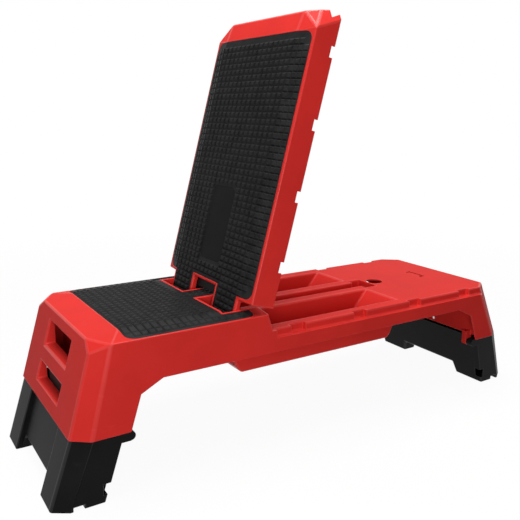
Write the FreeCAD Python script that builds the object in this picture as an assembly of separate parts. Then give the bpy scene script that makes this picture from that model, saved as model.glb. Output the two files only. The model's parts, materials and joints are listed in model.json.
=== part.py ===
import FreeCAD, Part
import math
import os

# overall size, in mm: x runs from the seat end to the bed end, z is up from the floor
leg_height = 118.0
base_height = 162.0
seam_length = 1022.0
seam_width = 350.0
bed_drop = 41.0
wall = 3.5
mat_thickness = 5.0
mat_stand = 2.0

# lean of the end walls and of the side walls, as run over drop; the bed end of the base leans more
end_lean = 0.2857
bed_end_lean = 0.38
side_lean = 0.037

# corner facets: run along x and y at the seam, how far in they meet the end wall higher up
facet_run = 30.0
facet_side = 23.0
seat_facet_inset = 26.0
bed_facet_run = 15.0
bed_facet_side = 11.5
bed_facet_inset = 54.0
end_band = 55.0
end_band_drop = 6.0
bevel_drop = 17.0

# the long edges of the seat and of the backrest turn down
edge_run = 46.0
edge_fall = 7.0

# arches, belly and inner leg edge, seen from the side
arch_drop = 82.0
arch_end = 156.0
arch_left_inner = 219.5
arch_right_inner = 160.0
leg_depth = 96.0
leg_inner_lean = 20.0
arch_chamfer_height = 20.0
belly_depth = 26.0
belly_corner = 16.0
belly_inset = 4.0
leg_wall_gap = 5.0

# bed rim, ledge, band notches
rim_inset = 8.0
ledge_drop = 15.0
seat_end_gap = 15.0
seat_end_run = 12.0
notch_back = 123.0
skirt_notch_pitch = 128.0
rim_notch_pitch = 151.0
notch_count = 4
rim_notch_width = 32.0
rim_notch_depth = 9.0
skirt_notch_width = 20.0
skirt_notch_depth = 7.0

# bins, channel, pocket, hole and slot in the bed
bin_back = 30.0
bin_gap = 8.0
bin_inner = 42.0
bin_margin = 40.0
bin_taper = 8.0
bin_end_taper = 60.0
bin_wall = 3.0
bin_floor_gap = 5.0
channel_half = 15.0
channel_depth = 19.0
channel_back = 35.0
pocket_run = 15.5
pocket_half = 30.0
pocket_depth = 24.0
hole_gap = 3.0
hole_radius = 19.0
slot_half = 26.0
slot_width = 7.0
slot_tick = 12.0

# hand slots in the end walls
hand_slot_half = 65.0
hand_slot_height = 35.0
upper_slot_height = 46.0
hand_slot_drop = 51.5
hand_slot_pitch = 69.0
hand_slot_depth = 15.0
hand_slot_frame = 3.0

# backrest: hinge axis, lean, and how far its surfaces reach along it
hinge_x = -165.0
hinge_drop = 42.0
backrest_lean = 75.0
backrest_short = 63.0
backrest_band = 38.0
backrest_facet_shift = 30.0
corner_reach = 48.0
notch_reach = 55.0
lobe_reach = 48.0
lobe_inner = 44.0
lobe_margin = 45.0
lobe_thickness = 12.0
backrest_wall = 3.5
bed_gap = 1.0
clip_back = 11.0

# hinge rod, lugs and bushes
rod_radius = 4.0
run_clear = 0.05
bush_radius = 6.5
small_bush_radius = 5.5
lug_radius = 13.0
lug_width = 10.0
rod_tail = 10.5
cap_radius = 8.0
cap_width = 5.0

# pockets in the seat edge that take the lobes, tongue between them
strip_gap = 3.0
strip_width = 5.0
pocket_undercut = 12.0
pocket_lead = 19.0
pocket_clear = 1.0
tongue_half = 30.0
pocket_gap = 2.0

# mats and badge
mat_inset = 3.5
seat_mat_gap = 6.0
mat_corner = 18.0
mat_border = 6.0
seat_row = 26.8
backrest_row = 23.8
groove_width = 3.0
groove_depth = 1.6
badge_half = 40.0
badge_start = 97.0
badge_end = 243.0
badge_depth = 2.5
badge_corner = 14.0

# prop: pin, arm, bar and rack
prop_stow_reach = 383.5
prop_gain = 53.5
prop_depth = 17.5
prop_stow_drop = 11.0
prop_pin_radius = 4.0
prop_bar_radius = 4.0
prop_bar_half = 27.0
prop_arm_half = 11.0
prop_arm_thickness = 9.0
prop_eye_radius = 7.0
prop_pin_half = 24.0
rack_inner = 13.0
rack_outer = 25.0
rack_base = 3.0
rack_tooth = 10.0
rack_tooth_clear = 0.4
rack_leans = (75.0, 62.0, 49.0, 36.0)
rack_ramp = 43.0
rack_end = 16.0
rack_search_steps = 1800
screw_radius = 2.0
screw_head = 4.0

# legs
leg_top_gap = 0.6
leg_inset = 4.5
leg_tuck = 10.5
leg_splay = 36.0
leg_foot_length = 87.0
leg_top_inset = 10.0
leg_post = 87.0
leg_panel_inset = 10.0
leg_arch_height = 26.0
leg_arch_slope = 8.0
leg_floor_wall = 12.0
leg_pin_out = 1.0
leg_pin_drop = 9.0
leg_pin_radius = 4.0
knuckle_radius = 8.5
knuckle_width = 16.0
lug_plate = 12.0
lug_gap = 0.6
cheek_notch_width = 18.0
cheek_notch_height = 7.0
side_notch_height = 20.0
side_notch_drop = 14.0
side_notch_depth = 7.0
foot_pad_rise = 3.0
foot_pad_inset = 9.0

# leg latches behind the lower hand slots
latch_side_gap = 10.0
latch_thickness = 5.0
latch_rise = 18.0
latch_gap = 1.0
latch_reach = 17.0
latch_bite = 3.0
latch_tooth_height = 5.0
latch_stem_half = 20.0
latch_tooth_gap = 1.0
latch_lip = 12.0
latch_lip_height = 4.0
latch_lip_gap = 0.6
guide_radius = 3.0
guide_edge = 14.0
guide_drop = 26.0

# how far a cutting shape runs past the face it cuts
over = 1.0
reach = 3000.0

# levels that follow from the sizes above
seam_height = leg_height
seat_height = leg_height + base_height
half_length = seam_length / 2
half_width = seam_width / 2
seat_red = seat_height - mat_stand
seat_floor = seat_height - mat_thickness
bed_height = seat_height - bed_drop
ledge_height = bed_height - ledge_drop
band_low = seat_red - end_band_drop
bevel_low = band_low - bevel_drop
edge_low = seat_red - edge_fall
mat_sink = mat_thickness - mat_stand
arch_height = seat_height - arch_drop
belly_height = arch_height - belly_depth
bin_floor = belly_height + bin_floor_gap
hinge_z = seat_height - hinge_drop
prop_stow_z = bed_height - prop_stow_drop
hand_slot_high = seat_height - hand_slot_drop
hand_slot_low = hand_slot_high - hand_slot_pitch
leg_top = seam_height - leg_top_gap
leg_pin_z = seam_height - leg_pin_drop
latch_low = seam_height - latch_reach
guide_z = hand_slot_low - guide_drop

# places along x that follow from the hinge and from the ends
seat_end = -hinge_x - seat_end_gap
notch_first = hinge_x + notch_back
notch_middle = notch_first + (notch_count - 1) * skirt_notch_pitch / 2
bin_start = hinge_x + bin_back
channel_start = hinge_x + channel_back
seat_mat_end = hinge_x - seat_mat_gap
prop_stow_x = hinge_x + prop_stow_reach
prop_reach = prop_stow_reach - prop_gain
pocket_start = prop_stow_x - pocket_run
pocket_end = prop_stow_x + pocket_run
bin_end = pocket_start - bin_gap
hole_x = pocket_end + hole_gap + hole_radius
pocket_front = hinge_x + pocket_lead
arch_outer = half_length - arch_end
leg_inner = half_length - leg_depth
leg_top_inner = leg_inner + leg_top_inset
leg_pin_x = leg_inner - leg_pin_out
leg_foot_reach = half_length + leg_splay
leg_foot_inner = leg_foot_reach - leg_foot_length

# places across that follow from the width
bin_outer = half_width - bin_margin
lobe_outer = half_width - lobe_margin
rod_half = lobe_outer + pocket_gap + wall + rod_tail
leg_foot_half = half_width - leg_tuck
leg_panel_half = half_width - leg_post
latch_half = hand_slot_half - latch_side_gap
guide_y = latch_half - guide_edge

# the room that the lobes need when the backrest stands up
lean_sin = math.sin(math.radians(backrest_lean))
lean_cos = math.cos(math.radians(backrest_lean))
strip_edge = hinge_x - hinge_drop * lean_sin - lobe_reach * lean_cos - strip_gap
pocket_back = strip_edge - pocket_undercut
lobe_low = hinge_z - lobe_reach * lean_sin + (hinge_drop - lobe_thickness) * lean_cos
pocket_floor = lobe_low - pocket_clear


def V(x, y, z):
    return FreeCAD.Vector(x, y, z)


def end_x(z):
    return half_length - end_lean * (z - seam_height)


def side_y(z):
    return half_width - side_lean * (z - seam_height)


mat_end = end_x(band_low) - end_band
backrest_end = end_x(band_low) - backrest_short
backrest_mat_end = backrest_end - backrest_band
fold_half = side_y(seat_red) - edge_run
slot_x = backrest_end - clip_back


def box(x0, x1, y0, y1, z0, z1):
    return Part.makeBox(x1 - x0, y1 - y0, z1 - z0, V(x0, y0, z0))


def prism_y(points, y0, y1):
    ring = [V(x, y0, z) for x, z in points]
    face = Part.Face(Part.makePolygon(ring + ring[:1]))
    return face.extrude(V(0, y1 - y0, 0))


def prism_z(points, z0, z1):
    ring = [V(x, y, z0) for x, y in points]
    face = Part.Face(Part.makePolygon(ring + ring[:1]))
    return face.extrude(V(0, 0, z1 - z0))


def rod_y(x, z, radius, y0, y1):
    return Part.makeCylinder(radius, y1 - y0, V(x, y0, z), V(0, 1, 0))


def flip_x(shape):
    return shape.mirror(V(0, 0, 0), V(1, 0, 0))


def flip_y(shape):
    return shape.mirror(V(0, 0, 0), V(0, 1, 0))


def both_sides(shape):
    return [shape, flip_y(shape)]


def joined(shapes):
    return shapes[0].multiFuse(shapes[1:]).removeSplitter()


def less(shape, tools):
    return shape.cut(Part.makeCompound(tools)) if tools else shape


def trim(shape, point, normal):
    block = Part.makeBox(reach, reach, reach, V(-reach / 2, -reach / 2, 0))
    block.Placement = FreeCAD.Placement(point, FreeCAD.Rotation(V(0, 0, 1), normal))
    return shape.cut(block)


# the plane through three points, with its normal turned up
def plane_through(a, b, c):
    normal = (b - a).cross(c - a).normalize()
    return a, normal if normal.z > 0 else normal * -1


def facet_plane(at_seat):
    run, side, inset, level = bed_facet_run, bed_facet_side, bed_facet_inset, band_low
    if at_seat:
        run, side, inset, level = facet_run, facet_side, seat_facet_inset, bevel_low
    low_side = V(half_length - run, half_width, seam_height)
    low_end = V(half_length, half_width - side, seam_height)
    return plane_through(low_end, low_side, V(end_x(level), half_width - inset, level))


# one end: its wall, the sloping band on top, two corner facets, their bevels, the ends of the turned edges
def trim_end(shape, sign, shift, inset):
    point, facet = facet_plane(sign < 0)
    point = point + V(shift + backrest_facet_shift if shift else 0, 0, 0)
    band = backrest_band if shift else end_band
    lean = bed_end_lean if sign > 0 and not shift else end_lean
    high = V(end_x(band_low) + shift, fold_half, band_low)
    low_x = end_x(bevel_low) + shift
    low_y = point.y - (facet.x * (low_x - point.x) + facet.z * (bevel_low - point.z)) / facet.y
    edge_y = side_y(edge_low)
    edge_x = point.x - (facet.y * (edge_y - point.y) + facet.z * (edge_low - point.z)) / facet.x
    edge = V(edge_x, edge_y, edge_low)
    planes = [
        (V(half_length + shift, 0, seam_height), V(1, 0, lean).normalize()),
        (high, V(end_band_drop, 0, band).normalize()),
        (point, facet),
        plane_through(high, V(low_x, low_y, bevel_low), edge),
        plane_through(high, V(high.x - band, fold_half, seat_red), edge),
    ]
    for place, normal in planes:
        deep = place - normal * inset
        for side in (1, -1):
            shape = trim(shape, V(sign * deep.x, side * deep.y, deep.z),
                         V(sign * normal.x, side * normal.y, normal.z))
    return shape


# the turned-down long edges, moved up by lift
def trim_falls(shape, lift):
    out = V(0, edge_fall, side_y(edge_low) - fold_half).normalize()
    for side in (1, -1):
        shape = trim(shape, V(0, side * fold_half, seat_red + lift), V(0, side * out.y, out.z))
    return shape


def trim_sides(shape, inset):
    out = V(0, 1, side_lean).normalize()
    for side in (1, -1):
        shape = trim(shape, V(0, side * (half_width - inset), seam_height), V(0, side * out.y, out.z))
    return trim_falls(shape, -inset - mat_sink if inset else 0)


def base_hull(inset, low):
    shape = box(-seam_length, seam_length, -seam_width, seam_width, low, seat_red - inset)
    shape = trim_sides(shape, inset)
    for sign in (1, -1):
        shape = trim_end(shape, sign, 0, inset)
    return shape


def side_outline():
    knee = (leg_inner - leg_inner_lean, arch_height - arch_chamfer_height)
    half_corner = belly_corner / 2
    return [
        (-seam_length, seam_height), (-leg_inner, seam_height), (-knee[0], knee[1]),
        (-arch_outer, arch_height), (-arch_left_inner, arch_height),
        (-arch_left_inner + half_corner, belly_height + half_corner),
        (-arch_left_inner + belly_corner, belly_height),
        (arch_right_inner - belly_corner, belly_height),
        (arch_right_inner - half_corner, belly_height + half_corner),
        (arch_right_inner, arch_height), (arch_outer, arch_height), knee,
        (leg_inner, seam_height), (seam_length, seam_height), (seam_length, bed_height),
        (-seat_end + seat_end_run, bed_height), (-seat_end, seat_red), (-seam_length, seat_red),
    ]


def ledge_cuts():
    start = -seat_end + seat_end_run + rim_inset
    rim = side_y(bed_height) - rim_inset
    return both_sides(box(start, seam_length, rim, seam_width, ledge_height, seat_height))


# the middles of a row of notches along x
def notch_places(pitch):
    return [notch_middle + (k - (notch_count - 1) / 2) * pitch for k in range(notch_count)]


def rim_notches():
    rim = side_y(bed_height) - rim_inset
    cuts = []
    for x in notch_places(rim_notch_pitch):
        cuts += both_sides(box(x - rim_notch_width / 2, x + rim_notch_width / 2, rim - rim_notch_depth,
                               half_width, ledge_height, seat_height))
    return cuts


def belly_steps():
    y = side_y(arch_height) - belly_inset
    return both_sides(box(-arch_left_inner - over, arch_right_inner + over, y, seam_width, seam_height,
                          arch_height))


def base_cavities():
    inner = base_hull(wall, seam_height - wall)
    rim = base_hull(rim_inset + rim_notch_depth + wall, seam_height)
    seat_top = seat_floor - wall
    bed_top = bed_height - wall
    ledge_under = ledge_height - wall
    inner_wall = leg_inner + leg_wall_gap
    low = seam_height - wall
    y = seam_width
    left = -arch_left_inner + wall
    right = arch_right_inner - wall
    step = -seat_end + seat_end_run - wall
    spaces = [
        box(-seam_length, -inner_wall - wall, -y, y, low, seat_top),
        box(-inner_wall, -arch_left_inner, -y, y, low, seat_top),
        box(left, -seat_end - wall, -y, y, arch_height + wall, seat_top),
    ]
    under = [
        (left, right, arch_height + wall),
        (arch_right_inner, inner_wall, low),
        (inner_wall + wall, seam_length, low),
    ]
    cavities = [inner.common(space) for space in spaces]
    for x0, x1, z0 in under:
        cavities.append(inner.common(box(x0, x1, -y, y, z0, ledge_under)))
        cavities.append(rim.common(box(max(x0, step), x1, -y, y, ledge_under - wall, bed_top)))
    belly_y = side_y(arch_height) - belly_inset - wall
    cavities.append(box(left + belly_corner, right - belly_corner, -belly_y, belly_y, belly_height + wall,
                        arch_height + 2 * wall))
    return cavities


def bin_block(grow, top):
    def ring(x0, x1, y0, y1, z):
        corners = [V(x0, y0, z), V(x1, y0, z), V(x1, y1, z), V(x0, y1, z)]
        return Part.makePolygon(corners + corners[:1])
    upper = ring(bin_start - grow, bin_end + grow, bin_inner - grow, bin_outer + grow, bed_height)
    lower = ring(bin_start + bin_taper - grow, bin_end - bin_end_taper + grow, bin_inner + bin_taper - grow,
                 bin_outer - bin_taper + grow, bin_floor - grow)
    block = Part.makeLoft([upper, lower], True, True)
    if not top:
        return block
    return block.fuse(box(bin_start, bin_end, bin_inner, bin_outer, bed_height, bed_height + top))


def channel_block(grow, top):
    z = bed_height + top
    deep = bed_height - pocket_depth - grow
    return [
        box(channel_start - grow, pocket_start + grow, -channel_half - grow, channel_half + grow,
            bed_height - channel_depth - grow, z),
        box(pocket_start - grow, pocket_end + grow, -pocket_half - grow, pocket_half + grow, deep, z),
    ]


def prop_pin_x():
    bar_x, bar_z = prop_bar_place(backrest_lean)
    rise = bar_z - prop_stow_z
    return (prop_stow_x ** 2 - bar_x ** 2 - rise ** 2) / (2 * (prop_stow_x - bar_x))


def prop_bar_place(lean):
    turn = math.radians(lean)
    out = hinge_drop - prop_depth
    return (hinge_x + prop_reach * math.cos(turn) - out * math.sin(turn),
            hinge_z + prop_reach * math.sin(turn) + out * math.cos(turn))


def lobe_tubs():
    inner = tongue_half
    outer = lobe_outer + pocket_gap
    return both_sides(box(pocket_back - wall, pocket_front + wall, inner - wall, outer + wall,
                          pocket_floor - wall, seat_floor - wall))


def lobe_pockets():
    inner = tongue_half
    outer = lobe_outer + pocket_gap
    cuts = []
    for x0, x1, z0, z1 in (
        (pocket_back, pocket_front, pocket_floor, seat_floor - wall),
        (strip_edge, pocket_front, pocket_floor, seat_height + wall),
        (pocket_front - wall, -seat_end + 2 * seat_end_run, bed_height, seat_height + wall),
    ):
        cuts += both_sides(box(x0, x1, inner, outer, z0, z1))
    return cuts


def bed_openings():
    hole = Part.makeCylinder(hole_radius, channel_depth, V(hole_x, 0, bed_height - channel_depth / 2))
    z0 = bed_height - channel_depth
    z1 = bed_height + wall
    slot = box(slot_x - slot_width / 2, slot_x + slot_width / 2, -slot_half, slot_half, z0, z1)
    tick = box(slot_x - slot_tick, slot_x, slot_half - slot_width, slot_half, z0, z1)
    return [hole, slot] + both_sides(tick)


def hand_slot(sign, level, height, grow):
    x1 = end_x(level - height / 2 - grow)
    x0 = end_x(level) - hand_slot_depth
    shape = box(x0, x1 + (0 if grow else wall), -hand_slot_half - grow, hand_slot_half + grow,
                level - height / 2 - grow, level + height / 2 + grow)
    return shape if sign > 0 else flip_x(shape)


def hand_slots(grow):
    upper = hand_slot(-1, hand_slot_high, upper_slot_height, grow)
    return [upper] + [hand_slot(sign, hand_slot_low, hand_slot_height, grow) for sign in (-1, 1)]


def leg_lug_y():
    return side_y(seam_height) - leg_inset - knuckle_width - lug_gap - lug_plate


def leg_lugs(sign):
    y0 = leg_lug_y()
    web = box(leg_pin_x - knuckle_radius, leg_inner + leg_wall_gap + wall, y0, y0 + lug_plate,
              leg_pin_z, leg_pin_z + 3 * knuckle_radius)
    lug = web.fuse(rod_y(leg_pin_x, leg_pin_z, knuckle_radius, y0, y0 + lug_plate))
    lug = lug.cut(rod_y(leg_pin_x, leg_pin_z, leg_pin_radius, y0, y0 + lug_plate))
    lugs = both_sides(lug)
    return lugs if sign > 0 else [flip_x(one) for one in lugs]


def inner_wall_relief(sign):
    cut = box(leg_inner, leg_inner + leg_wall_gap + 2 * wall, -half_width + 2 * wall, half_width - 2 * wall,
              seam_height - wall, seam_height + 2 * wall)
    return cut if sign > 0 else flip_x(cut)


def guide_rods(sign, radius):
    x0 = leg_inner + leg_wall_gap
    x1 = latch_front() + latch_thickness
    rods = [Part.makeCylinder(radius, x1 - x0, V(x0, y, guide_z), V(1, 0, 0)) for y in (guide_y, -guide_y)]
    return rods if sign > 0 else [flip_x(rod) for rod in rods]


def latch_front():
    return end_x(hand_slot_low) - hand_slot_depth - latch_gap


def base_shell(seat_mat_shape):
    hull = base_hull(0, seam_height)
    outer = hull.common(prism_y(side_outline(), -seam_width, seam_width))
    shell = less(outer, base_cavities() + ledge_cuts() + belly_steps())
    inside = base_hull(wall / 2, seam_height)
    bins = both_sides(bin_block(bin_wall, 0))
    boss = [rod_y(prop_pin_x(), prop_stow_z, 2 * prop_pin_radius, -prop_pin_half, prop_pin_half)]
    frames = [slot.common(inside) for slot in hand_slots(hand_slot_frame)]
    blocks = bins + channel_block(bin_wall, 0) + lobe_tubs() + frames + boss
    shell = shell.cut(Part.makeCompound([inner_wall_relief(1), inner_wall_relief(-1)]))
    shell = joined([shell] + blocks + leg_lugs(1) + leg_lugs(-1))
    cuts = both_sides(bin_block(0, wall)) + channel_block(0, wall) + lobe_pockets() + bed_openings()
    cuts += rim_notches() + hand_slots(0)
    cuts += [rod_y(hinge_x, hinge_z, rod_radius, -rod_half, rod_half), seat_mat_shape]
    cuts += [rod_y(prop_pin_x(), prop_stow_z, prop_pin_radius, -prop_pin_half, prop_pin_half)]
    cuts += guide_rods(1, guide_radius) + guide_rods(-1, guide_radius)
    for cut in cuts:
        shell = shell.cut(cut)
    return shell.removeSplitter()


def rounded_plate(x0, x1, y0, y1, z0, z1, corner):
    plate = box(x0, x1, y0, y1, z0, z1)
    upright = [e for e in plate.Edges if abs(e.Vertexes[0].Z - e.Vertexes[1].Z) > (z1 - z0) / 2]
    return plate.makeFillet(corner, upright)


# everything under the seat level and its turned-down edges, moved up by lift
def roof(lift):
    block = box(-seam_length, seam_length, -seam_width, seam_width, bed_height, seat_red + lift)
    return trim_falls(block, lift)


# an upright outline turned into a mat that follows the turned-down edges, with grooves across it
def laid_mat(outline, x0, x1, half, pitch):
    mat = outline.common(roof(mat_stand)).cut(roof(-mat_sink))
    rows = []
    for k in range(1, int((x1 - x0) / pitch) + 1):
        x = x0 + k * pitch
        rows.append(box(x - groove_width / 2, x + groove_width / 2, -half, half, bed_height,
                        seat_height + over))
    return mat.cut(Part.makeCompound(rows).cut(roof(mat_stand - groove_depth)))


def mat_outline(x0, x1, half):
    return rounded_plate(x0, x1, -half, half, bed_height, seat_height, mat_corner)


def seat_mat():
    half = side_y(seat_red) - mat_inset
    plate = mat_outline(-mat_end, seat_mat_end, half)
    inner = tongue_half - mat_border
    outer = lobe_outer + pocket_gap + strip_width
    tongue = box(strip_edge - mat_corner, -seat_end - mat_border, -inner, inner, bed_height, seat_height)
    plate = plate.fuse(tongue).removeSplitter()
    plate = less(plate, both_sides(box(strip_edge - strip_width, 0, inner, outer, 0, 2 * seat_height)))
    return laid_mat(plate, -mat_end, strip_edge - strip_width, half - mat_border, seat_row)


def upright(shape):
    turned = shape.copy()
    turned.rotate(V(hinge_x, 0, hinge_z), V(0, -1, 0), backrest_lean)
    return turned


def backrest_hull(inset, low, high):
    start = hinge_x + corner_reach + inset
    shape = box(start, seam_length, -seam_width, seam_width, low, high)
    shape = trim_sides(shape, inset)
    return trim_end(shape, 1, -backrest_short, inset)


def lobes():
    block = box(hinge_x - lobe_reach, hinge_x + notch_reach, lobe_inner, lobe_outer,
                seat_height - lobe_thickness, seat_red)
    return both_sides(trim_falls(block, 0))


def lug_rows():
    first = lobe_inner + pocket_gap
    last = lobe_outer - pocket_gap - lug_width
    return [(y, y + lug_width) for y in (first, last)]


def hinge_lugs():
    lugs = []
    for y0, y1 in lug_rows():
        web = box(hinge_x - lug_radius, hinge_x + lug_radius, y0, y1, hinge_z, seat_height - lobe_thickness)
        lugs += both_sides(web.fuse(rod_y(hinge_x, hinge_z, lug_radius, y0, y1)))
    return lugs


def lug_bores(radius):
    return [shape for y0, y1 in lug_rows() for shape in both_sides(rod_y(hinge_x, hinge_z, radius, y0, y1))]


def skirt_notches():
    low = ledge_height
    rim = side_y(bed_height) - rim_inset
    cuts = []
    for x in notch_places(skirt_notch_pitch):
        cuts += both_sides(box(x - skirt_notch_width / 2, x + skirt_notch_width / 2, rim, seam_width,
                               low, low + bed_gap + skirt_notch_depth))
    return cuts


def backrest_ribs():
    x0 = hinge_x + notch_reach
    x1 = backrest_end - 2 * backrest_wall
    y = lobe_inner + 2 * lug_width
    low = bed_height + lobe_thickness
    return both_sides(box(x0, x1, y, y + backrest_wall, low, seat_floor - backrest_wall))


def backrest_shell(mat_shape, badge_shape):
    low = ledge_height + bed_gap
    outer = backrest_hull(0, low, seat_red)
    inner = backrest_hull(backrest_wall, low - wall, seat_floor - backrest_wall)
    clear_y = side_y(bed_height) - rim_inset + bed_gap
    lift = box(-seam_length, seam_length, -clear_y, clear_y, low - wall, bed_height + bed_gap)
    shell = less(outer, [inner, lift])
    notch_x = hinge_x + notch_reach
    notch_half = lobe_inner + backrest_wall
    notch_wall = box(notch_x, notch_x + backrest_wall, -notch_half, notch_half,
                     seat_height - 2 * lobe_thickness, seat_red)
    shell = joined([shell, notch_wall] + lobes() + hinge_lugs() + backrest_ribs())
    notch = box(hinge_x, notch_x, -lobe_inner, lobe_inner, 0, 2 * seat_height)
    cuts = [notch, mat_shape, badge_shape] + skirt_notches() + lug_bores(bush_radius) + rack_screw_set(0)
    cuts += [clip_stem(0)]
    for cut in cuts:
        shell = shell.cut(cut)
    return shell.removeSplitter()


def backrest_mat():
    half = side_y(seat_red) - mat_inset - pocket_gap
    x0 = hinge_x + corner_reach + mat_border
    plate = mat_outline(x0, backrest_mat_end, half)
    tabs = both_sides(box(hinge_x - lobe_reach + mat_border, x0 + mat_corner, lobe_inner + mat_border,
                          lobe_outer - mat_border, bed_height, seat_height))
    plate = joined([plate] + tabs)
    notch_half = lobe_inner + mat_border
    notch = box(hinge_x, hinge_x + notch_reach + mat_border, -notch_half, notch_half, 0, 2 * seat_height)
    plate = plate.cut(notch).cut(badge(0))
    start = hinge_x + notch_reach
    return laid_mat(plate, start, backrest_mat_end - mat_border, half - mat_border, backrest_row)


def badge(top):
    return rounded_plate(hinge_x + badge_start, hinge_x + badge_end, -badge_half, badge_half, seat_floor,
                         seat_height - top, badge_corner)


def rack_saddles():
    arm = prop_stow_x - prop_pin_x()
    out = hinge_drop - prop_depth
    places = []
    for lean in rack_leans:
        best = None
        turn = math.radians(lean)
        for step in range(1, rack_search_steps):
            swing = math.pi * step / rack_search_steps
            dx = prop_pin_x() + arm * math.cos(swing) - hinge_x
            dz = prop_stow_z + arm * math.sin(swing) - hinge_z
            miss = abs(-dx * math.sin(turn) + dz * math.cos(turn) - out)
            along = dx * math.cos(turn) + dz * math.sin(turn)
            if along > 0 and (best is None or miss < best[0]):
                best = (miss, along)
        places.append(best[1])
    return places


def rack():
    saddles = rack_saddles()
    top = seat_floor - backrest_wall
    under = top - rack_base
    x0 = hinge_x + saddles[0] - rack_end
    x1 = hinge_x + saddles[-1] + rack_end
    strip = box(x0, x1, rack_inner, rack_outer, under - rack_tooth, top)
    slope = math.tan(math.radians(rack_ramp))
    bar = prop_bar_radius + rack_tooth_clear
    z = seat_height - prop_depth
    for along in saddles:
        x = hinge_x + along
        lean_x = bar * math.sin(math.radians(rack_ramp))
        lean_z = bar * math.cos(math.radians(rack_ramp))
        run = rack_tooth + bar
        cut = prism_y([(x - bar, z - run), (x - bar, z), (x + lean_x, z + lean_z),
                       (x + lean_x + (run + lean_z) / slope, z - run)], rack_inner, rack_outer)
        strip = strip.cut(cut).cut(rod_y(x, z, bar, rack_inner, rack_outer))
    bridge = box(x1 - rack_end / 2, x1, -rack_outer, rack_outer, under, top)
    shape = joined(both_sides(strip) + [bridge])
    return less(shape, rack_screw_set(0))


def rack_screw_set(head):
    saddles = rack_saddles()
    y = (rack_inner + rack_outer) / 2
    top = seat_floor
    shapes = []
    for x in (hinge_x + saddles[0] - rack_end * 2 / 3, hinge_x + saddles[-1] + rack_end * 2 / 3):
        low = top - backrest_wall - rack_base - rack_tooth
        screw = Part.makeCylinder(screw_radius, top - low, V(x, y, low))
        if head:
            screw = screw.fuse(Part.makeCylinder(screw_head, head, V(x, y, low - head)))
        shapes += both_sides(screw)
    return shapes


def clip_stem(depth):
    top = seat_floor - backrest_wall / 2
    low = bed_height - wall - depth if depth else seat_floor - 3 * backrest_wall
    return box(slot_x - slot_width / 4, slot_x + slot_width / 4, -slot_half / 2, slot_half / 2, low, top)


def clip():
    stem = clip_stem(2 * wall)
    foot = box(slot_x - 2 * slot_width, slot_x + slot_width / 4, -slot_half, slot_half,
               bed_height + bed_gap + wall, seat_floor - backrest_wall)
    return stem.fuse(foot).removeSplitter()


def hinge_bushes():
    return Part.makeCompound([outer.cut(bore) for outer, bore in
                              zip(lug_bores(bush_radius), lug_bores(rod_radius + run_clear))])


def hinge_rod():
    return rod_y(hinge_x, hinge_z, rod_radius, -rod_half, rod_half)


def hinge_caps():
    face = lobe_outer + pocket_gap + wall
    cap = rod_y(hinge_x, hinge_z, cap_radius, face, rod_half + cap_width / 2)
    return Part.makeCompound(both_sides(cap.cut(rod_y(hinge_x, hinge_z, rod_radius, 0, rod_half))))


def prop_swing():
    bar_x, bar_z = prop_bar_place(backrest_lean)
    return math.degrees(math.atan2(bar_z - prop_stow_z, bar_x - prop_pin_x()))


def raised(shape):
    turned = shape.copy()
    turned.rotate(V(prop_pin_x(), 0, prop_stow_z), V(0, -1, 0), prop_swing())
    return turned


def prop_arm():
    x0 = prop_pin_x()
    x1 = prop_stow_x
    half = prop_arm_thickness / 2
    arm = box(x0, x1, -prop_arm_half, prop_arm_half, prop_stow_z - half, prop_stow_z + half)
    eyes = [rod_y(x, prop_stow_z, prop_eye_radius, -prop_arm_half, prop_arm_half) for x in (x0, x1)]
    arm = joined([arm] + eyes)
    window = box(x0 + 3 * prop_eye_radius, x1 - 3 * prop_eye_radius, -prop_arm_half / 2, prop_arm_half / 2,
                 0, seat_height)
    arm = arm.cut(window)
    arm = arm.cut(rod_y(x0, prop_stow_z, small_bush_radius, -prop_arm_half, prop_arm_half))
    return arm.cut(rod_y(x1, prop_stow_z, prop_bar_radius, -prop_arm_half, prop_arm_half))


def prop_bush():
    x = prop_pin_x()
    ring = rod_y(x, prop_stow_z, small_bush_radius, -prop_arm_half, prop_arm_half)
    return ring.cut(rod_y(x, prop_stow_z, prop_pin_radius + run_clear, -prop_arm_half, prop_arm_half))


def prop_bar():
    return rod_y(prop_stow_x, prop_stow_z, prop_bar_radius, -prop_bar_half, prop_bar_half)


def prop_pin():
    return rod_y(prop_pin_x(), prop_stow_z, prop_pin_radius, -prop_pin_half, prop_pin_half)


def leg_half(z):
    top = side_y(seam_height) - leg_inset
    return leg_foot_half + (top - leg_foot_half) * z / leg_top


def leg_outer(z):
    top = end_x(seam_height) - leg_inset / 2
    return leg_foot_reach + (top - leg_foot_reach) * z / leg_top


def leg_inner_x(z):
    return leg_foot_inner + (leg_top_inner - leg_foot_inner) * z / leg_top


def leg_profile(inset, low):
    tall = leg_top + (wall if inset else 0)
    return [(leg_inner_x(low) + inset, low), (leg_outer(low) - inset, low),
            (leg_outer(tall) - inset, tall), (leg_inner_x(tall) + inset, tall)]


def leg_facet():
    flank = half_width - facet_side - leg_inset / 2
    high = V(leg_outer(leg_top), flank, leg_top)
    low = V(leg_outer(0), flank - leg_inset, 0)
    side = V(leg_outer(0) - facet_run, leg_foot_half, 0)
    normal = (high - low).cross(side - low).normalize()
    return low, normal if normal.x > 0 else normal * -1


def leg_block(inset, low):
    shape = prism_y(leg_profile(inset, low), -seam_width, seam_width)
    lean = (side_y(seam_height) - leg_inset - leg_foot_half) / leg_top
    out = V(0, 1, -lean).normalize()
    point, facet = leg_facet()
    for side in (1, -1):
        shape = trim(shape, V(0, side * (leg_foot_half - inset), 0), V(0, side * out.y, out.z))
        turned = V(facet.x, side * facet.y, facet.z)
        shape = trim(shape, V(point.x, side * point.y, point.z) - turned * inset, turned)
    return shape


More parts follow.
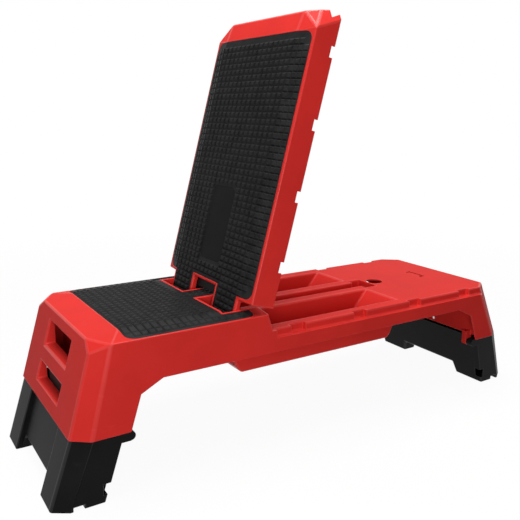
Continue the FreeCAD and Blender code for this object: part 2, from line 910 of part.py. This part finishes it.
def leg_cuts():
    foot_x = leg_outer(0) - leg_panel_inset
    top_x = leg_outer(leg_top) - leg_panel_inset
    top = leg_top + over
    panel = prism_y([(foot_x, -over), (seam_length, -over), (seam_length, top), (top_x, top)],
                    -leg_panel_half, leg_panel_half)
    low = leg_panel_half
    high = leg_panel_half - leg_arch_slope
    ring = [V(0, -low, -over), V(0, low, -over), V(0, high, leg_arch_height), V(0, -high, leg_arch_height)]
    arch = Part.Face(Part.makePolygon(ring + ring[:1])).extrude(V(seam_length, 0, 0))
    middle = (leg_foot_inner + leg_foot_reach) / 2
    sole = box(middle - cheek_notch_width / 2, middle + cheek_notch_width / 2, -seam_width, seam_width,
               -over, cheek_notch_height)
    x = leg_inner_x(side_notch_drop)
    side = box(0, x + side_notch_depth, leg_foot_half - 2 * side_notch_depth, seam_width, side_notch_drop,
               side_notch_drop + side_notch_height)
    return [panel, arch, sole] + both_sides(side)


def leg_hollow():
    shape = leg_block(wall, leg_arch_height + wall)
    back = leg_panel_inset + wall
    top = 2 * leg_top
    outline = [(leg_outer(0) - back, 0), (seam_length, 0), (seam_length, top), (leg_outer(top) - back, top)]
    deeper = prism_y(outline, -leg_panel_half - wall, leg_panel_half + wall)
    return shape.cut(deeper)


def foot_hollow():
    shape = leg_block(wall, leg_floor_wall)
    top = leg_arch_height + 2 * wall
    feet = box(0, seam_length, leg_panel_half + wall, seam_width, leg_floor_wall, top)
    return [shape.common(one) for one in both_sides(feet)]


def lip_low():
    return latch_low + latch_tooth_height + latch_lip_gap


def lip_end():
    return leg_outer(lip_low()) - leg_panel_inset - wall / 2


def leg_lip():
    return box(lip_end() - latch_lip, lip_end(), -latch_stem_half, latch_stem_half,
               lip_low(), lip_low() + latch_lip_height)


def knuckles():
    y1 = leg_half(leg_pin_z)
    y0 = side_y(seam_height) - leg_inset - knuckle_width
    web = box(leg_pin_x, leg_top_inner + 2 * wall, y0, y1, leg_pin_z - knuckle_radius, leg_top)
    return both_sides(web.fuse(rod_y(leg_pin_x, leg_pin_z, knuckle_radius - lug_gap, y0, y1)))


def lug_clearance():
    y0 = leg_lug_y() - lug_gap
    return both_sides(box(0, leg_inner + leg_wall_gap + 4 * wall, y0, y0 + lug_plate + 2 * lug_gap,
                          leg_pin_z - 2 * knuckle_radius, seam_height))


def leg_pin_y():
    return leg_lug_y(), leg_half(leg_pin_z) - over


def leg_shell():
    body = less(leg_block(0, 0), leg_cuts())
    body = less(body, [leg_hollow()] + foot_hollow())
    body = joined([body, leg_lip()] + knuckles())
    y0, y1 = leg_pin_y()
    body = less(body, lug_clearance() + both_sides(rod_y(leg_pin_x, leg_pin_z, small_bush_radius, y0, y1)))
    return less(body, [foot_pad_block(side) for side in (1, -1)]).removeSplitter()


def foot_pad_block(side):
    y0 = leg_panel_half + foot_pad_inset
    y1 = leg_foot_half - foot_pad_inset
    middle = (leg_foot_inner + leg_foot_reach) / 2
    gap = cheek_notch_width / 2 + wall
    pads = [box(leg_foot_inner + foot_pad_inset, middle - gap, y0, y1, 0, foot_pad_rise),
            box(middle + gap, leg_foot_reach - 2 * foot_pad_inset, y0, y1, 0, foot_pad_rise)]
    shape = Part.makeCompound(pads)
    return shape if side > 0 else flip_y(shape)


def leg_bushes():
    y0 = side_y(seam_height) - leg_inset - knuckle_width
    y1 = leg_pin_y()[1]
    ring = rod_y(leg_pin_x, leg_pin_z, small_bush_radius, y0, y1)
    ring = ring.cut(rod_y(leg_pin_x, leg_pin_z, leg_pin_radius + run_clear, y0, y1))
    return Part.makeCompound(both_sides(ring))


def leg_pins():
    y0, y1 = leg_pin_y()
    return Part.makeCompound(both_sides(rod_y(leg_pin_x, leg_pin_z, leg_pin_radius, y0, y1)))


def latch_plate():
    x1 = latch_front()
    x0 = x1 - latch_thickness
    level = hand_slot_low
    plate = box(x0, x1, -latch_half, latch_half, guide_z - 2 * guide_radius, level + latch_rise)
    stem = box(x0, x1, -latch_stem_half, latch_stem_half, latch_low, level)
    tooth = box(x0, lip_end() - latch_lip + latch_bite, -latch_stem_half + latch_tooth_gap,
                latch_stem_half - latch_tooth_gap, latch_low, latch_low + latch_tooth_height)
    plate = joined([plate, stem, tooth])
    return less(plate, guide_rods(1, guide_radius + run_clear))


def latch_guides():
    return Part.makeCompound(guide_rods(1, guide_radius))


def rack_screws():
    return Part.makeCompound(rack_screw_set(screw_radius))


def feet_pads():
    return Part.makeCompound([foot_pad_block(side) for side in (1, -1)])


def end_sets():
    makers = {"shell": leg_shell, "feet": feet_pads, "bushes": leg_bushes, "pins": leg_pins}
    shapes = {f"leg_{{}}_{name}": make() for name, make in makers.items()}
    shapes["latch_{}_plate"] = latch_plate()
    shapes["latch_{}_guides"] = latch_guides()
    named = {}
    for name, shape in shapes.items():
        named[name.format("right")] = shape
        named[name.format("left")] = flip_x(shape)
    return named


def assembly():
    mat = backrest_mat()
    seat = seat_mat()
    shell = backrest_shell(mat, badge(0))
    nodes = {
        "base_shell": base_shell(seat),
        "seat_mat": seat,
        "hinge_rod": hinge_rod(),
        "hinge_caps": hinge_caps(),
        "prop_pin": prop_pin(),
        "backrest_shell": upright(shell),
        "backrest_mat": upright(mat),
        "badge_plate": upright(badge(badge_depth)),
        "prop_rack": upright(rack()),
        "rack_screws": upright(rack_screws()),
        "hinge_bushes": upright(hinge_bushes()),
        "backrest_clip": upright(clip().cut(shell)),
        "prop_arm": raised(prop_arm()),
        "prop_bar": raised(prop_bar()),
        "prop_bush": raised(prop_bush()),
    }
    nodes.update(end_sets())
    return nodes


os.makedirs("parts", exist_ok=True)
for node, shape in assembly().items():
    shape.exportStep(f"parts/{node}.step")
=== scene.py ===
import json
import math

import bmesh
import bpy
from mathutils import Matrix, Vector


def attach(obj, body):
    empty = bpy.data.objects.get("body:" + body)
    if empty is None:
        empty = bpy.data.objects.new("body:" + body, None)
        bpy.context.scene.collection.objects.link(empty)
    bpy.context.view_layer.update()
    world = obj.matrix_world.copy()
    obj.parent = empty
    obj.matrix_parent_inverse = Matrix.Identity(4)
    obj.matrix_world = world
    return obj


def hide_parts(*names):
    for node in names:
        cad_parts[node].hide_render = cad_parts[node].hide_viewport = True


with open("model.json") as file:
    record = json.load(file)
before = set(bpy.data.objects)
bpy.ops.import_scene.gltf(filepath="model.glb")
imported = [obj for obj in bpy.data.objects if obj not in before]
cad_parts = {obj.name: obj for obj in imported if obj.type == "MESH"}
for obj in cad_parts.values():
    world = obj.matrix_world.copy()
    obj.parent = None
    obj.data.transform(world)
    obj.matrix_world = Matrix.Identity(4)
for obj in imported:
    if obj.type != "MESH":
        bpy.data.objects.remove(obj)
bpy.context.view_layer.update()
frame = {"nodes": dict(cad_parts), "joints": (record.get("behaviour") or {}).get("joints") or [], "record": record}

scene = bpy.context.scene
nodes = frame["nodes"]
tilt = next(joint for joint in frame["joints"] if joint["name"] == "backrest_tilt")
hingeSpot = Vector(tilt["pos_m"])
# degrees from the closed backrest to the propped one, which is the rest pose
leanUp = -tilt["range_deg"][0]


# a socket of a shader tree that can be used in sums
class Wire:
    def __init__(self, tree, socket=None):
        self.tree = tree
        self.socket = socket

    def node(self, kind, settings=None, sockets=None, out=0):
        made = self.tree.nodes.new(kind)
        for name, value in (settings or {}).items():
            setattr(made, name, value)
        for name, value in (sockets or {}).items():
            if isinstance(value, Wire):
                self.tree.links.new(value.socket, made.inputs[name])
            else:
                made.inputs[name].default_value = value
        return Wire(self.tree, made.outputs[out] if made.outputs else None)

    def sum(self, operation, first, second=0.0):
        return self.node("ShaderNodeMath", {"operation": operation}, {0: first, 1: second})

    def __add__(self, other):
        return self.sum("ADD", self, other)

    def __radd__(self, other):
        return self.sum("ADD", other, self)

    def __mul__(self, other):
        return self.sum("MULTIPLY", self, other)

    def __rmul__(self, other):
        return self.sum("MULTIPLY", other, self)

    def clear(self, low, high):
        return self.node("ShaderNodeMapRange", {"clamp": True},
                         {"Value": self, "From Min": low, "From Max": high})

    # the mix node takes its colours at sockets 6 and 7 and gives one at output 2
    def blend(self, first, second):
        return self.node("ShaderNodeMix", {"data_type": "RGBA"}, {0: self, 6: first, 7: second}, 2)

    def noise(self, scale, detail=2.0, rough=0.5):
        sockets = {"Vector": self, "Scale": scale, "Detail": detail, "Roughness": rough}
        return self.node("ShaderNodeTexNoise", {}, sockets)

    def bump(self, height, distance, strength):
        sockets = {"Height": height, "Distance": distance, "Strength": strength}
        return self.node("ShaderNodeBump", {}, sockets)

    def stretched(self, scale):
        return self.node("ShaderNodeMapping", {}, {"Vector": self, "Scale": scale})


def startFinish(name):
    finish = bpy.data.materials.new(name)
    finish.use_nodes = True
    tree = finish.node_tree
    shader = tree.nodes["Principled BSDF"]
    return finish, shader, Wire(tree).node("ShaderNodeTexCoord", out="Object")


def plug(shader, name, wire):
    shader.id_data.links.new(wire.socket, shader.inputs[name])


# satin moulded plastic: cloudy pigment, a fine sparked grain and a few rubbed streaks
redLook = dict(deep=(0.62, 0.0280, 0.0230, 1), clear=(0.70, 0.0320, 0.0265, 1),
               rubbedAndSheen=(0.74, 0.05, 0.042, 1),
               cloud=9.0, grain=620.0, streak=(26.0, 26.0, 150.0), rough=0.52, roughSwing=0.10,
               grainDepth=0.00012, specular=0.04)
blackLook = dict(deep=(0.0045, 0.0045, 0.0050, 1), clear=(0.0085, 0.0085, 0.0085, 1),
                 rubbedAndSheen=(0.020, 0.020, 0.020, 1),
                 cloud=11.0, grain=520.0, streak=(30.0, 30.0, 120.0), rough=0.46, roughSwing=0.12,
                 grainDepth=0.00018, specular=0.06)
badgeLook = dict(deep=(0.0085, 0.0085, 0.0090, 1), clear=(0.0110, 0.0110, 0.0115, 1),
                 rubbedAndSheen=(0.018, 0.018, 0.019, 1),
                 cloud=20.0, grain=900.0, streak=(60.0, 60.0, 200.0), rough=0.46, roughSwing=0.08,
                 grainDepth=0.00008, specular=0.02)
# the rounded edges of both plastics are worn smoother, and their lighter rubbed and clear tones are a painted
# highlight
redEdgeHighlightLook = dict(redLook, rubbedAndSheen=(0.80, 0.10, 0.085, 1), rough=0.34, specular=0.22)
blackEdgeHighlightLook = dict(blackLook, clear=(0.0110, 0.0110, 0.0110, 1), rubbedAndSheen=(0.030, 0.030, 0.030, 1),
                     rough=0.34, specular=0.22)
bushLook = dict(deep=(0.62, 0.61, 0.57, 1), clear=(0.74, 0.73, 0.69, 1), rubbedAndSheen=(0.5, 0.49, 0.45, 1),
                cloud=60.0, grain=800.0, streak=(90.0, 90.0, 90.0), rough=0.45, roughSwing=0.1,
                grainDepth=0.0001, specular=0.5)
# what all the plastics share
plasticShade = dict(cloudSpan=(0.3, 0.7), streakSpan=(0.62, 0.78), streakShare=0.35, bump=0.5)


def mouldedPlastic(name, look):
    finish, shader, place = startFinish(name)
    cloud = place.noise(look["cloud"], detail=3.0)
    grain = place.noise(look["grain"], rough=0.6)
    streak = place.stretched(look["streak"]).noise(1.0, detail=4.0, rough=0.65)
    rubbedAndSheen = streak.clear(*plasticShade["streakSpan"]) * plasticShade["streakShare"]
    tone = cloud.clear(*plasticShade["cloudSpan"]).blend(look["deep"], look["clear"])
    # on the rounded-edge finishes the rubbed and clear tones are lighter, as a painted highlight
    plug(shader, "Base Color", rubbedAndSheen.blend(tone, look["rubbedAndSheen"]))
    swing = look["roughSwing"] / 2
    plug(shader, "Roughness", (cloud + grain) * swing + (look["rough"] - swing))
    shader.inputs["Specular IOR Level"].default_value = look["specular"]
    plug(shader, "Normal", place.bump(grain, look["grainDepth"], plasticShade["bump"]))
    return finish


# moulded rubber: dull and slightly dusty, with a pale band along the long edges that is painted sheen where the
# mats turn down, patchy with the dust
# the pale band along the long edges is painted sheen on the mats' turned-down edges
rubberLook = dict(deep=(0.0070, 0.0070, 0.0074, 1), dusty=(0.0150, 0.0150, 0.0155, 1), rough=0.50,
                  grain=1100.0, dust=32.0, grainDepth=0.00025, specular=0.05, scuffAndSheen=(0.120, 0.132),
                  scuffAndSheenTone=(0.0240, 0.0240, 0.0245, 1))
soleLook = dict(deep=(0.012, 0.012, 0.012, 1), dusty=(0.05, 0.048, 0.045, 1), rough=0.75, grain=700.0,
                dust=45.0, grainDepth=0.0003, specular=0.3, scuffAndSheen=(0.10, 0.20),
                scuffAndSheenTone=(0.05, 0.048, 0.045, 1))
# what both rubbers share
rubberShade = dict(dustSpan=(0.38, 0.72), scuffAndSheenSpan=(0.25, 0.65), grainRough=0.12, dustRough=0.10, bump=0.4)


def mouldedRubber(name, look):
    finish, shader, place = startFinish(name)
    dust = place.noise(look["dust"], detail=5.0, rough=0.6)
    grain = place.noise(look["grain"], rough=0.7)
    across = place.node("ShaderNodeSeparateXYZ", {}, {0: place}, "Y")
    # painted sheen: a paler tone on the turned-down long edges, patchy with the dust
    scuffAndSheen = across.sum("ABSOLUTE", across).clear(*look["scuffAndSheen"]) * dust.clear(*rubberShade["scuffAndSheenSpan"])
    tone = dust.clear(*rubberShade["dustSpan"]).blend(look["deep"], look["dusty"])
    plug(shader, "Base Color", scuffAndSheen.blend(tone, look["scuffAndSheenTone"]))
    grainRough, dustRough = rubberShade["grainRough"], rubberShade["dustRough"]
    least = look["rough"] - (grainRough + dustRough) / 2
    plug(shader, "Roughness", grain * grainRough + dust * dustRough + least)
    shader.inputs["Specular IOR Level"].default_value = look["specular"]
    plug(shader, "Normal", place.bump(grain, look["grainDepth"], rubberShade["bump"]))
    return finish


# zinc plated rod: drawn lines along y and soft spangle
steelLook = dict(dark=(0.42, 0.42, 0.43, 1), bright=(0.66, 0.66, 0.67, 1), lines=(900.0, 14.0, 900.0),
                 spangle=160.0, span=(0.3, 0.7), rough=0.22, lineRough=0.2)


def platedSteel(name, look):
    finish, shader, place = startFinish(name)
    lines = place.stretched(look["lines"]).noise(1.0, detail=3.0)
    spangle = place.noise(look["spangle"], detail=1.0)
    shine = (lines * 0.5 + spangle * 0.5).clear(*look["span"])
    plug(shader, "Base Color", shine.blend(look["dark"], look["bright"]))
    plug(shader, "Roughness", lines * look["lineRough"] + look["rough"])
    shader.inputs["Metallic"].default_value = 1.0
    return finish


finishes = {
    "red_shell": mouldedPlastic("mouldedRed", redLook),
    "black_shell": mouldedPlastic("mouldedBlack", blackLook),
    "badge_plastic": mouldedPlastic("badgeBlack", badgeLook),
    "bush_plastic": mouldedPlastic("bushWhite", bushLook),
    "mat_rubber": mouldedRubber("matRubber", rubberLook),
    "foot_rubber": mouldedRubber("soleRubber", soleLook),
    "steel": platedSteel("platedSteel", steelLook),
}
# finishes for the rounded edges, whose lighter tones are a painted highlight
edgeHighlightFinishes = {
    "red_shell": mouldedPlastic("mouldedRedEdgeHighlight", redEdgeHighlightLook),
    "black_shell": mouldedPlastic("mouldedBlackEdgeHighlight", blackEdgeHighlightLook),
}
slotOf = {part["node"]: part["material_slot"] for part in frame["record"]["subparts"]}
bodyOf = {node: body for body, held in frame["record"]["behaviour"]["bodies"].items() for node in held}
print("finishes made:", len(finishes) + len(edgeHighlightFinishes))

for name, held in nodes.items():
    held.data.materials.clear()
    held.data.materials.append(finishes[slotOf[name]])


# mesh clean-up: points this close are one, and faces this flat to each other are joined
cleanUp = dict(weld=0.00002, flat=math.radians(0.5))


def asMesh(shape, name):
    mesh = bpy.data.meshes.new(name)
    shape.to_mesh(mesh)
    shape.free()
    return mesh


def placed(mesh, name, slot):
    piece = bpy.data.objects.new(name, mesh)
    scene.collection.objects.link(piece)
    mesh.materials.clear()
    mesh.materials.append(finishes[slot])
    return piece


def dressed(mesh, name, node):
    piece = placed(mesh, name, slotOf[node])
    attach(piece, bodyOf[node])
    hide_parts(node)
    return piece


def joinFlat(shape):
    bmesh.ops.dissolve_limit(shape, angle_limit=cleanUp["flat"], verts=shape.verts, edges=shape.edges)


def roundOff(shape, edges, offset):
    bmesh.ops.bevel(shape, geom=edges, offset=offset, segments=2, profile=0.5, affect="EDGES", material=-1)


def mergedCopy(node):
    shape = bmesh.new()
    shape.from_mesh(nodes[node].data)
    bmesh.ops.remove_doubles(shape, verts=shape.verts, dist=cleanUp["weld"])
    joinFlat(shape)
    return shape


# shells: every moulded edge is rounded, as far as the faces beside it leave room
# turns are in radians; share and gap are parts of a face's width and of the way to the next edge or point
edgeRules = dict(share=0.30, gap=0.42, leastTurn=0.09, bend=0.02, curveTurn=0.45, curveWidth=0.006,
                 crossing=0.5, endOff=0.01, runOn=-0.85, slack=1e-7, flatWeight=90)
shellEdges = dict(
    baseSkin=dict(node="base_shell", width=0.0042, segments=4),
    backrestSkin=dict(node="backrest_shell", width=0.0038, segments=4),
    legLeftSkin=dict(node="leg_left_shell", width=0.0045, segments=4),
    legRightSkin=dict(node="leg_right_shell", width=0.0045, segments=4),
    badgeFace=dict(node="badge_plate", width=0.0008, segments=2),
    propArmSkin=dict(node="prop_arm", width=0.0012, segments=2),
    rackSkin=dict(node="prop_rack", width=0.0005, segments=2),
    latchLeftSkin=dict(node="latch_left_plate", width=0.0010, segments=2),
    latchRightSkin=dict(node="latch_right_plate", width=0.0010, segments=2),
)


def meanWidth(face):
    return 2 * face.calc_area() / face.calc_perimeter()


# a strip of a drawn curve, such as one step of a round corner
def isCurve(edge):
    thin = max(meanWidth(face) for face in edge.link_faces) < edgeRules["curveWidth"]
    return thin and edge.calc_face_angle(0) < edgeRules["curveTurn"]


def isBent(edge, least):
    return len(edge.link_faces) == 2 and edge.calc_face_angle(0) > least


# how wide an edge can be rounded before it meets the next one
def roomFor(edge, look):
    rooms = [look["width"]]
    along = edge.verts[1].co - edge.verts[0].co
    gap, endOff = edgeRules["gap"], edgeRules["endOff"]
    for loop in edge.link_loops:
        face = loop.face
        onCurve = any(isBent(side, edgeRules["bend"]) and isCurve(side) for side in face.edges)
        faceWidth = face.calc_area() / along.length if onCurve else meanWidth(face)
        rooms.append(edgeRules["share"] * faceWidth)
        for other in (loop.link_loop_next.edge, loop.link_loop_prev.edge):
            across = other.verts[1].co - other.verts[0].co
            turn = along.cross(across).length / (along.length * across.length)
            if turn > edgeRules["crossing"]:
                rooms.append(gap * across.length * turn)
        for vert in face.verts:
            reach = vert.co - edge.verts[0].co
            if endOff < reach.dot(along) / along.length_squared < 1 - endOff:
                rooms.append(gap * reach.cross(along).length / along.length)
    return min(rooms)


# edges that run on into each other are rounded alike
def evenOut(rooms):
    changed = True
    while changed:
        changed = False
        for edge, room in rooms.items():
            for vert in edge.verts:
                here = (edge.other_vert(vert).co - vert.co).normalized()
                for other in vert.link_edges:
                    if other == edge or rooms.get(other, room) >= room - edgeRules["slack"]:
                        continue
                    there = (other.other_vert(vert).co - vert.co).normalized()
                    if here.dot(there) < edgeRules["runOn"]:
                        rooms[edge] = room = rooms[other]
                        changed = True
    return rooms


def softenedShell(name, look):
    shape = mergedCopy(look["node"])
    weight = shape.edges.layers.float.new("bevel_weight_edge")
    rooms = {}
    for edge in shape.edges:
        if isBent(edge, edgeRules["leastTurn"]) and not isCurve(edge):
            rooms[edge] = roomFor(edge, look)
    for edge, room in evenOut(rooms).items():
        edge[weight] = room / look["width"]
    bmesh.ops.connect_verts_concave(shape, faces=shape.faces[:])
    for face in shape.faces:
        face.smooth = True
    piece = dressed(asMesh(shape, name), name, look["node"])
    rounding = piece.modifiers.new("roundedEdges", "BEVEL")
    slot = slotOf[look["node"]]
    # the rounded faces take the edge finish, made lighter as a painted highlight
    if slot in edgeHighlightFinishes:
        piece.data.materials.append(edgeHighlightFinishes[slot])
        rounding.material = 1
    rounding.limit_method = "WEIGHT"
    rounding.width = look["width"]
    rounding.segments = look["segments"]
    rounding.profile = 0.5
    rounding.use_clamp_overlap = False
    shading = piece.modifiers.new("flatFaces", "WEIGHTED_NORMAL")
    shading.mode = "FACE_AREA"
    shading.weight = edgeRules["flatWeight"]


for name, look in shellEdges.items():
    softenedShell(name, look)
print("shells rounded:", len(shellEdges))


# grip mats: low hipped cells in rows on a thinner sheet, which turns down with the long edges
gripCell = dict(rise=0.0024, slant=0.0052, sideSlant=0.0032)
seatGrip = dict(gripCell, node="seat_mat", lean=0.0, rowStart=-0.4108, row=0.0132, rows=18, columns=18,
                sideColumns=(0.0225, 0.0135), edge=0.001, keepOut=())
backGrip = dict(gripCell, node="backrest_mat", lean=leanUp, rowStart=-0.2171, row=0.0119, rows=49,
                columns=15, sideColumns=(0.0132, 0.0132, 0.0132), edge=0.0006, keepOut=("badge_plate",))
# by their normals, faces up to underside are the mat's back, and those of it past level its turned-down edges
matCut = dict(underside=-0.9, level=-0.999, rimTurn=1.0, rimEdge=0.0006, sink=0.0001, cellFaces=5)


def layFlat(look):
    turn = Matrix.Rotation(math.radians(look["lean"]), 4, "Y")
    return Matrix.Translation(hingeSpot) @ turn @ Matrix.Translation(-hingeSpot)


def inside(point, ring):
    hits = 0
    for (ax, ay), (bx, by) in zip(ring, ring[1:] + ring[:1]):
        if (ay > point[1]) != (by > point[1]):
            hits += point[0] < ax + (point[1] - ay) / (by - ay) * (bx - ax)
    return hits % 2 == 1


# the thin sheet under the cells, drawn up from the underside of the mat
def thinSheet(look, flat):
    shape = mergedCopy(look["node"])
    bmesh.ops.transform(shape, matrix=flat, verts=shape.verts)
    top = max(vert.co.z for vert in shape.verts)
    upper = [face for face in shape.faces if face.normal.z > matCut["underside"]]
    bmesh.ops.delete(shape, geom=upper, context="FACES")
    joinFlat(shape)
    level = max(vert.co.z for vert in shape.verts)
    rings = [[(loop.vert.co.x, loop.vert.co.y) for loop in face.loops] for face in shape.faces]
    tilted = [face for face in shape.faces if face.normal.z > matCut["level"]]
    fold = min(abs(vert.co.y) for face in tilted for vert in face.verts)
    fall = math.tan(math.acos(-tilted[0].normal.z))
    raised = bmesh.ops.extrude_face_region(shape, geom=shape.faces[:], use_keep_orig=True)
    lifted = [part for part in raised["geom"] if isinstance(part, bmesh.types.BMVert)]
    bmesh.ops.translate(shape, vec=(0, 0, top - look["rise"] - level), verts=lifted)
    bmesh.ops.recalc_face_normals(shape, faces=shape.faces)
    sharp = [edge for edge in shape.edges if edge.calc_face_angle(0) > matCut["rimTurn"]]
    rim = [edge for edge in sharp if all(vert in lifted for vert in edge.verts)]
    roundOff(shape, rim, matCut["rimEdge"])
    return shape, rings, fold, fall, top


# a flat grid of cells from end to end, one strip for the middle and one for each side column
def cellGrid(look, fold, height):
    sheet = bmesh.new()
    length = look["rows"] * look["row"]
    strips = [(0.0, fold, look["columns"])]
    out = fold
    for width in look["sideColumns"]:
        strips += [(turn * (out + width / 2), width / 2, 1) for turn in (-1, 1)]
        out += width
    for middle, half, count in strips:
        place = Matrix.Translation((look["rowStart"] + length / 2, middle, height))
        bmesh.ops.create_grid(sheet, x_segments=look["rows"], y_segments=count, size=1,
                              matrix=place @ Matrix.Diagonal((length / 2, half, 1, 1)))
    return sheet


def floorPlan(node, flat):
    corners = [flat @ vert.co for vert in nodes[node].data.vertices]
    across, along = [corner.x for corner in corners], [corner.y for corner in corners]
    return min(across), max(across), min(along), max(along)


# a cell goes if it leaves the sheet or runs into a piece that is let into the mat
def isStray(face, reach, rings, blocks):
    centre = face.calc_center_median()
    for vert in face.verts:
        x, y = vert.co.x, vert.co.y
        if any(x0 < x < x1 and y0 < y < y1 for x0, x1, y0, y1 in blocks):
            return True
        spot = (x + math.copysign(reach, x - centre.x), y + math.copysign(reach, y - centre.y))
        if not any(inside(spot, ring) for ring in rings):
            return True
    return False


def gripMat(name, look):
    flat = layFlat(look)
    shape, rings, fold, fall, top = thinSheet(look, flat)
    sheet = cellGrid(look, fold, top - look["rise"] - matCut["sink"])
    blocks = [floorPlan(node, flat) for node in look["keepOut"]]
    stray = [face for face in sheet.faces if isStray(face, look["edge"], rings, blocks)]
    bmesh.ops.delete(sheet, geom=stray, context="FACES")
    for vert in sheet.verts:
        vert.co.z -= fall * max(0.0, abs(vert.co.y) - fold)
    outer = [face for face in sheet.faces if abs(face.calc_center_median().y) > fold]
    inner = [face for face in sheet.faces if abs(face.calc_center_median().y) < fold]
    bmesh.ops.inset_individual(sheet, faces=outer, thickness=look["sideSlant"], depth=look["rise"])
    bmesh.ops.inset_individual(sheet, faces=inner, thickness=look["slant"], depth=look["rise"])
    cells = len(sheet.faces) // matCut["cellFaces"]
    grip = asMesh(sheet, name + "Cells")
    shape.from_mesh(grip)
    bpy.data.meshes.remove(grip)
    bmesh.ops.transform(shape, matrix=flat.inverted(), verts=shape.verts)
    dressed(asMesh(shape, name), name, look["node"])
    print(name, "cells:", cells, "fold:", round(fold, 4))


gripMat("seatGripMat", seatGrip)
gripMat("backGripMat", backGrip)

# black strip with two ribs under the hinge lobes, which closes the gap between them
lobeStripLook = dict(lean=leanUp, edge=0.0006, body="backrest", slot="black_shell",
                     boxes=(((-0.127, -0.060, 0.265), (-0.109, 0.060, 0.268)),
                            ((-0.148, 0.0455, 0.250), (-0.109, 0.0485, 0.268)),
                            ((-0.148, -0.0485, 0.250), (-0.109, -0.0455, 0.268))))


def lobeStrip(name, look):
    shape = bmesh.new()
    for low, high in look["boxes"]:
        middle = (Vector(high) + Vector(low)) / 2
        stretch = Matrix.Diagonal((*(Vector(high) - Vector(low)), 1))
        bmesh.ops.create_cube(shape, size=1, matrix=Matrix.Translation(middle) @ stretch)
    roundOff(shape, shape.edges[:], look["edge"])
    bmesh.ops.transform(shape, matrix=layFlat(look).inverted(), verts=shape.verts)
    piece = placed(asMesh(shape, name), name, look["slot"])
    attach(piece, look["body"])


lobeStrip("lobeStrip", lobeStripLook)
print("lobe strip made")

# floor, light and camera
studio = dict(floorSeen=0.98, floorBounce=0.30, floorSize=14.0, floorShow=0.95, fadeFrom=0.5, fadeTo=2.2,
              worldLight=0.03, whiteBack=1.0)
lamps = dict(
    top=dict(place=(-0.45, -0.45, 2.0), aim=(0.0, 0.0, 0.2), size=(1.1, 0.8), power=18.0),
    rear=dict(place=(0.05, 0.35, 2.1), aim=(0.0, 0.0, 0.2), size=(1.1, 0.8), power=26.0),
    front=dict(place=(-0.9, -1.5, 0.55), aim=(-0.2, 0.0, 0.25), size=(0.8, 0.5), power=11.5),
    left=dict(place=(-1.9, -0.5, 0.8), aim=(-0.3, 0.0, 0.2), size=(0.9, 0.7), power=3.8),
)
shot = dict(place=(-0.7584, -1.0960, 0.6295), azimuth=-32.50, elevation=13.11, roll=0.45, lens=45.05)


# one where the camera, a reflection or a see-through ray looks, else nought
def seenRay(wire):
    kinds = ("Is Camera Ray", "Is Glossy Ray", "Is Transmission Ray")
    camera, glossy, through = (wire.node("ShaderNodeLightPath", out=kind) for kind in kinds)
    return (camera + glossy + through).clear(0.0, 1.0)


def layFloor():
    shape = bmesh.new()
    bmesh.ops.create_grid(shape, x_segments=1, y_segments=1, size=studio["floorSize"] / 2)
    floor = bpy.data.objects.new("studioFloor", asMesh(shape, "studioFloor"))
    scene.collection.objects.link(floor)
    finish = bpy.data.materials.new("paleFloor")
    finish.use_nodes = True
    tree = finish.node_tree
    tree.nodes.clear()
    wire = Wire(tree)
    seen = seenRay(wire)
    pale, dull = (studio[key] for key in ("floorSeen", "floorBounce"))
    tone = seen.blend((dull, dull, dull, 1), (pale, pale, pale, 1))
    matt = wire.node("ShaderNodeBsdfDiffuse", {}, {"Color": tone})
    glow = wire.node("ShaderNodeEmission", {}, {"Color": (1, 1, 1, 1), "Strength": studio["whiteBack"]})
    place = wire.node("ShaderNodeTexCoord", out="Object")
    away = wire.node("ShaderNodeVectorMath", {"operation": "LENGTH"}, {0: place}, "Value")
    least = studio["floorShow"]
    show = away.clear(studio["fadeFrom"], studio["fadeTo"]) * (1 - least) + least
    mixed = wire.node("ShaderNodeMixShader", {}, {0: seen * show, 1: matt, 2: glow})
    wire.node("ShaderNodeOutputMaterial", {}, {"Surface": mixed})
    floor.data.materials.append(finish)


def lightWorld():
    world = bpy.data.worlds.new("studioWorld")
    scene.world = world
    world.use_nodes = True
    tree = world.node_tree
    tree.nodes.clear()
    wire = Wire(tree)
    soft, white = (wire.node("ShaderNodeBackground", {}, {"Color": (1, 1, 1, 1), "Strength": studio[level]})
                   for level in ("worldLight", "whiteBack"))
    mixed = wire.node("ShaderNodeMixShader", {}, {0: seenRay(wire), 1: soft, 2: white})
    wire.node("ShaderNodeOutputWorld", {}, {"Surface": mixed})


def hangLamp(name, look):
    lamp = bpy.data.lights.new(name + "Lamp", "AREA")
    lamp.shape = "RECTANGLE"
    lamp.size, lamp.size_y = look["size"]
    lamp.energy = look["power"]
    held = bpy.data.objects.new(name + "Lamp", lamp)
    aim = Vector(look["aim"]) - Vector(look["place"])
    turn = aim.to_track_quat("-Z", "Y").to_matrix().to_4x4()
    held.matrix_world = Matrix.Translation(look["place"]) @ turn
    scene.collection.objects.link(held)


def setCamera():
    turn, rise, roll = (math.radians(shot[key]) for key in ("azimuth", "elevation", "roll"))
    back = Vector((math.sin(turn) * math.cos(rise), -math.cos(turn) * math.cos(rise), math.sin(rise)))
    right = Vector((math.cos(turn), math.sin(turn), 0))
    up = back.cross(right)
    level = right * math.cos(roll) + up * math.sin(roll)
    upright = up * math.cos(roll) - right * math.sin(roll)
    lens = bpy.data.cameras.new("photoCamera")
    lens.sensor_fit = "HORIZONTAL"
    lens.sensor_width = 36.0
    lens.lens = shot["lens"]
    held = bpy.data.objects.new("photoCamera", lens)
    facing = Matrix((level, upright, back)).transposed().to_4x4()
    held.matrix_world = Matrix.Translation(shot["place"]) @ facing
    scene.collection.objects.link(held)
    scene.camera = held


layFloor()
lightWorld()
for name, look in lamps.items():
    hangLamp(name, look)
setCamera()
scene.view_settings.view_transform = "Standard"
print("studio set")
